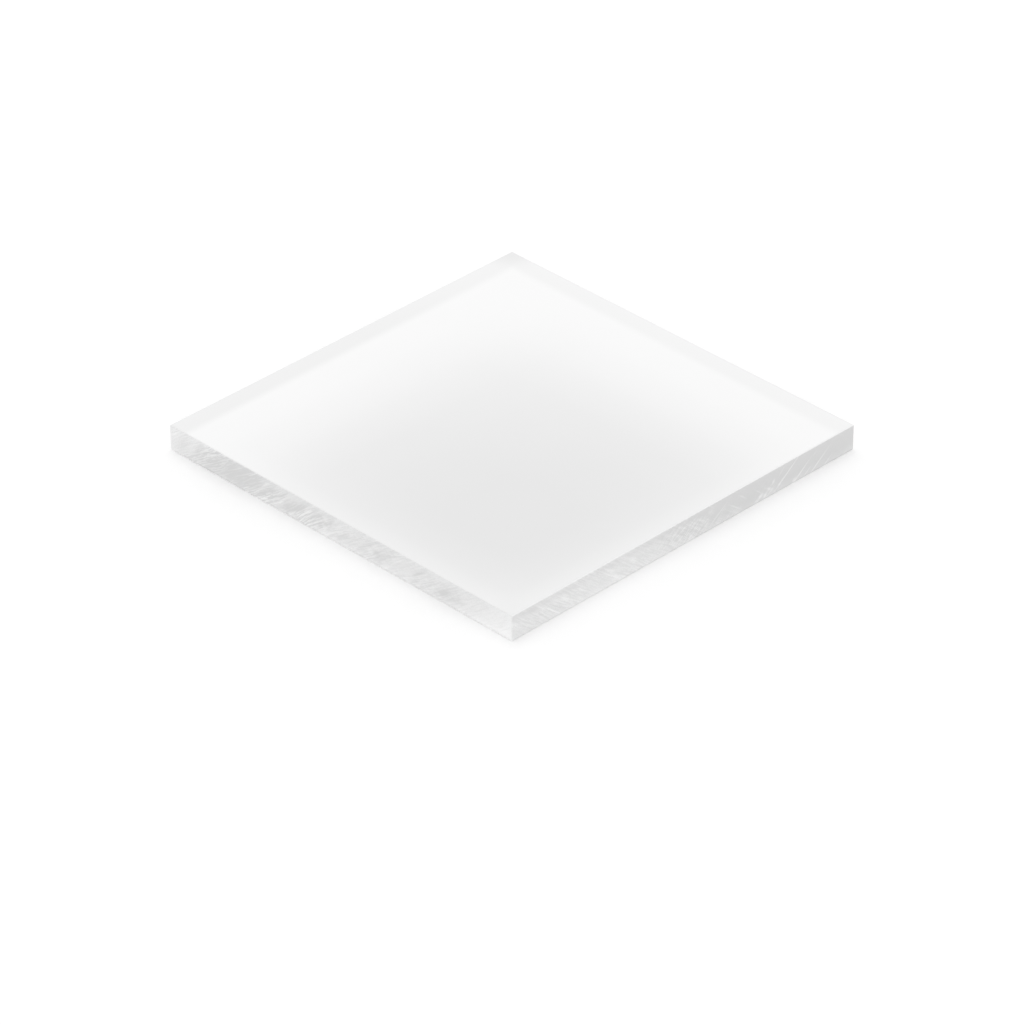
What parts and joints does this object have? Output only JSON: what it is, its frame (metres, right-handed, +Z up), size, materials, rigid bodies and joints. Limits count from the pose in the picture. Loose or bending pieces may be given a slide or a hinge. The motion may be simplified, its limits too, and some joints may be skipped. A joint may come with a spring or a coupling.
{
  "type": "opal acrylic sheet",
  "caption": "Square piece of milky white cast acrylic sheet with glossy cast faces, saw-cut edges and scraped arrises.",
  "frame": {"origin": "centre of the underside, on the ground", "axes": "+Z up through the thickness, +X and +Y along the two pairs of sawn edges; the sheet is square, so X and Y are alike"},
  "size_m": [0.1, 0.1, 0.006],
  "materials": {
    "opal_acrylic": "gloss"
  },
  "bodies": {
    "root": {"opal_acrylic_sheet": "opal_acrylic"}
  },
  "joints": []
}
